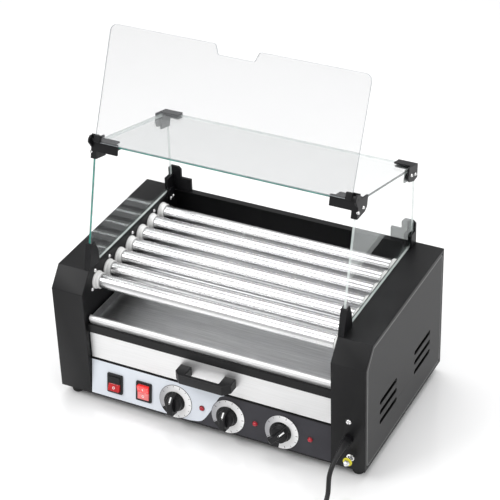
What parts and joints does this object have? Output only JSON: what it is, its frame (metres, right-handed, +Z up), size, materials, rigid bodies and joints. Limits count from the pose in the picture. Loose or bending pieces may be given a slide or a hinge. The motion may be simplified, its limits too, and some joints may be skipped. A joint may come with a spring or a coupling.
{
  "type": "hot dog roller grill",
  "caption": "Counter-top hot dog roller grill with driven heated rollers, drip tray, bun-warming drawer, control panel and a glass hood with a flip-up front door.",
  "frame": {"origin": "middle of the footprint of the machine without its mains cord, at the feet's undersides", "axes": "+X to the right along the rollers seen from the front, +Y from the front to the back, +Z up"},
  "size_m": [0.58, 0.5753, 0.6581],
  "materials": {
    "black_paint": "satin",
    "cover_paint": "satin",
    "grey_steel": "brushed",
    "tray_steel": "brushed",
    "drawer_steel": "polished brushed",
    "roller_steel": "polished",
    "shaft_steel": "satin",
    "white_plastic": "matt",
    "heater_sheath": "dull",
    "chain_steel": "oiled",
    "motor_grey": "satin",
    "dial_print": "satin",
    "black_plastic": "glossy",
    "red_lens": "glossy, lit",
    "clear_glass": "clear",
    "clear_acrylic": "clear",
    "bright_steel": "polished",
    "black_rubber": "matt",
    "terminal_brass": "satin",
    "cord_black": "semi-matt"
  },
  "bodies": {
    "chassis": {"back_panel": "black_paint", "base_pan": "black_paint", "control_panel": "black_paint", "cord_coil": "cord_black", "cord_gland": "black_plastic", "cord_lead": "cord_black", "cord_tail": "cord_black", "dial_plates": "dial_print", "drive_chain": "chain_steel", "earth_terminal": "terminal_brass", "element_bars": "grey_steel", "feet": "black_rubber", "front_rail": "black_paint", "gear_motor": "motor_grey", "heating_elements": "heater_sheath", "indicator_lamps": "red_lens", "left_inner_wall": "black_paint", "left_side_cover": "cover_paint", "left_tower_shell": "black_paint", "lower_brackets": "black_paint", "power_plug": "cord_black", "right_inner_wall": "black_paint", "right_side_cover": "cover_paint", "right_tower_shell": "black_paint", "roller_bushings": "white_plastic", "screws": "bright_steel", "side_glasses": "clear_glass", "slide_runners": "grey_steel", "switch_housings": "black_plastic", "thermostats": "black_plastic", "top_glass": "clear_glass", "upper_brackets": "black_paint", "warmer_deck": "grey_steel", "warmer_element": "heater_sheath"},
    "drip_tray": {"drip_tray": "tray_steel"},
    "warming_drawer": {"drawer_box": "tray_steel", "drawer_front": "drawer_steel", "drawer_handle": "black_plastic"},
    "flip_door": {"front_door": "clear_acrylic", "door_clips": "black_paint"},
    "left_knob": {"knob_1": "black_plastic"},
    "middle_knob": {"knob_2": "black_plastic"},
    "right_knob": {"knob_3": "black_plastic"},
    "left_rocker": {"rocker_1": "red_lens"},
    "right_rocker": {"rocker_2": "red_lens"},
    "motor_drive": {"motor_sprocket": "shaft_steel"},
    "roller_1": {"roller_tube_1": "roller_steel", "roller_shaft_1": "shaft_steel"},
    "roller_2": {"roller_tube_2": "roller_steel", "roller_shaft_2": "shaft_steel"},
    "roller_3": {"roller_tube_3": "roller_steel", "roller_shaft_3": "shaft_steel"},
    "roller_4": {"roller_tube_4": "roller_steel", "roller_shaft_4": "shaft_steel"},
    "roller_5": {"roller_tube_5": "roller_steel", "roller_shaft_5": "shaft_steel"},
    "roller_6": {"roller_tube_6": "roller_steel", "roller_shaft_6": "shaft_steel"},
    "roller_7": {"roller_tube_7": "roller_steel", "roller_shaft_7": "shaft_steel"}
  },
  "joints": [
    {"name": "roller_1_spin", "type": "hinge", "parent": "chassis", "child": "roller_1", "pos_m": [0, -0.1079, 0.2271], "axis": [1, 0, 0], "continuous": true},
    {"name": "roller_2_spin", "type": "hinge", "parent": "chassis", "child": "roller_2", "pos_m": [0, -0.0699, 0.2285], "axis": [1, 0, 0], "continuous": true},
    {"name": "roller_3_spin", "type": "hinge", "parent": "chassis", "child": "roller_3", "pos_m": [0, -0.0319, 0.2299], "axis": [1, 0, 0], "continuous": true},
    {"name": "roller_4_spin", "type": "hinge", "parent": "chassis", "child": "roller_4", "pos_m": [0, 0.0061, 0.2313], "axis": [1, 0, 0], "continuous": true},
    {"name": "roller_5_spin", "type": "hinge", "parent": "chassis", "child": "roller_5", "pos_m": [0, 0.0441, 0.2327], "axis": [1, 0, 0], "continuous": true},
    {"name": "roller_6_spin", "type": "hinge", "parent": "chassis", "child": "roller_6", "pos_m": [0, 0.0821, 0.2341], "axis": [1, 0, 0], "continuous": true},
    {"name": "roller_7_spin", "type": "hinge", "parent": "chassis", "child": "roller_7", "pos_m": [0, 0.1201, 0.2355], "axis": [1, 0, 0], "continuous": true},
    {"name": "motor_drive_spin", "type": "hinge", "parent": "chassis", "child": "motor_drive", "pos_m": [0.2455, 0.0061, 0.168], "axis": [1, 0, 0], "continuous": true},
    {"name": "drip_tray_slide", "type": "slide", "parent": "chassis", "child": "drip_tray", "axis": [0, -1, 0], "range_m": [0, 0.25]},
    {"name": "drawer_slide", "type": "slide", "parent": "chassis", "child": "warming_drawer", "axis": [0, -1, 0], "range_m": [0, 0.22]},
    {"name": "door_hinge", "type": "hinge", "parent": "chassis", "child": "flip_door", "pos_m": [0, -0.07433, 0.48096], "axis": [1, 0, 0], "range_deg": [0, 189.4]},
    {"name": "left_knob_turn", "type": "hinge", "parent": "chassis", "child": "left_knob", "pos_m": [-0.0624, -0.15194, 0.04917], "axis": [0, 0.9895, -0.1448], "range_deg": [0, 300]},
    {"name": "middle_knob_turn", "type": "hinge", "parent": "chassis", "child": "middle_knob", "pos_m": [0.0376, -0.15194, 0.04917], "axis": [0, 0.9895, -0.1448], "range_deg": [0, 300]},
    {"name": "right_knob_turn", "type": "hinge", "parent": "chassis", "child": "right_knob", "pos_m": [0.1376, -0.15194, 0.04917], "axis": [0, 0.9895, -0.1448], "range_deg": [-45, 255]},
    {"name": "left_rocker_tilt", "type": "hinge", "parent": "chassis", "child": "left_rocker", "pos_m": [-0.181, -0.15222, 0.05072], "axis": [1, 0, 0], "range_deg": [0, 18]},
    {"name": "right_rocker_tilt", "type": "hinge", "parent": "chassis", "child": "right_rocker", "pos_m": [-0.124, -0.15222, 0.05072], "axis": [1, 0, 0], "range_deg": [-18, 0]}
  ],
  "couplings": [
    {"joint": "roller_2_spin", "follows": "roller_1_spin", "ratio": 1},
    {"joint": "roller_3_spin", "follows": "roller_1_spin", "ratio": 1},
    {"joint": "roller_4_spin", "follows": "roller_1_spin", "ratio": 1},
    {"joint": "roller_5_spin", "follows": "roller_1_spin", "ratio": 1},
    {"joint": "roller_6_spin", "follows": "roller_1_spin", "ratio": 1},
    {"joint": "roller_7_spin", "follows": "roller_1_spin", "ratio": 1},
    {"joint": "motor_drive_spin", "follows": "roller_1_spin", "ratio": 1}
  ]
}
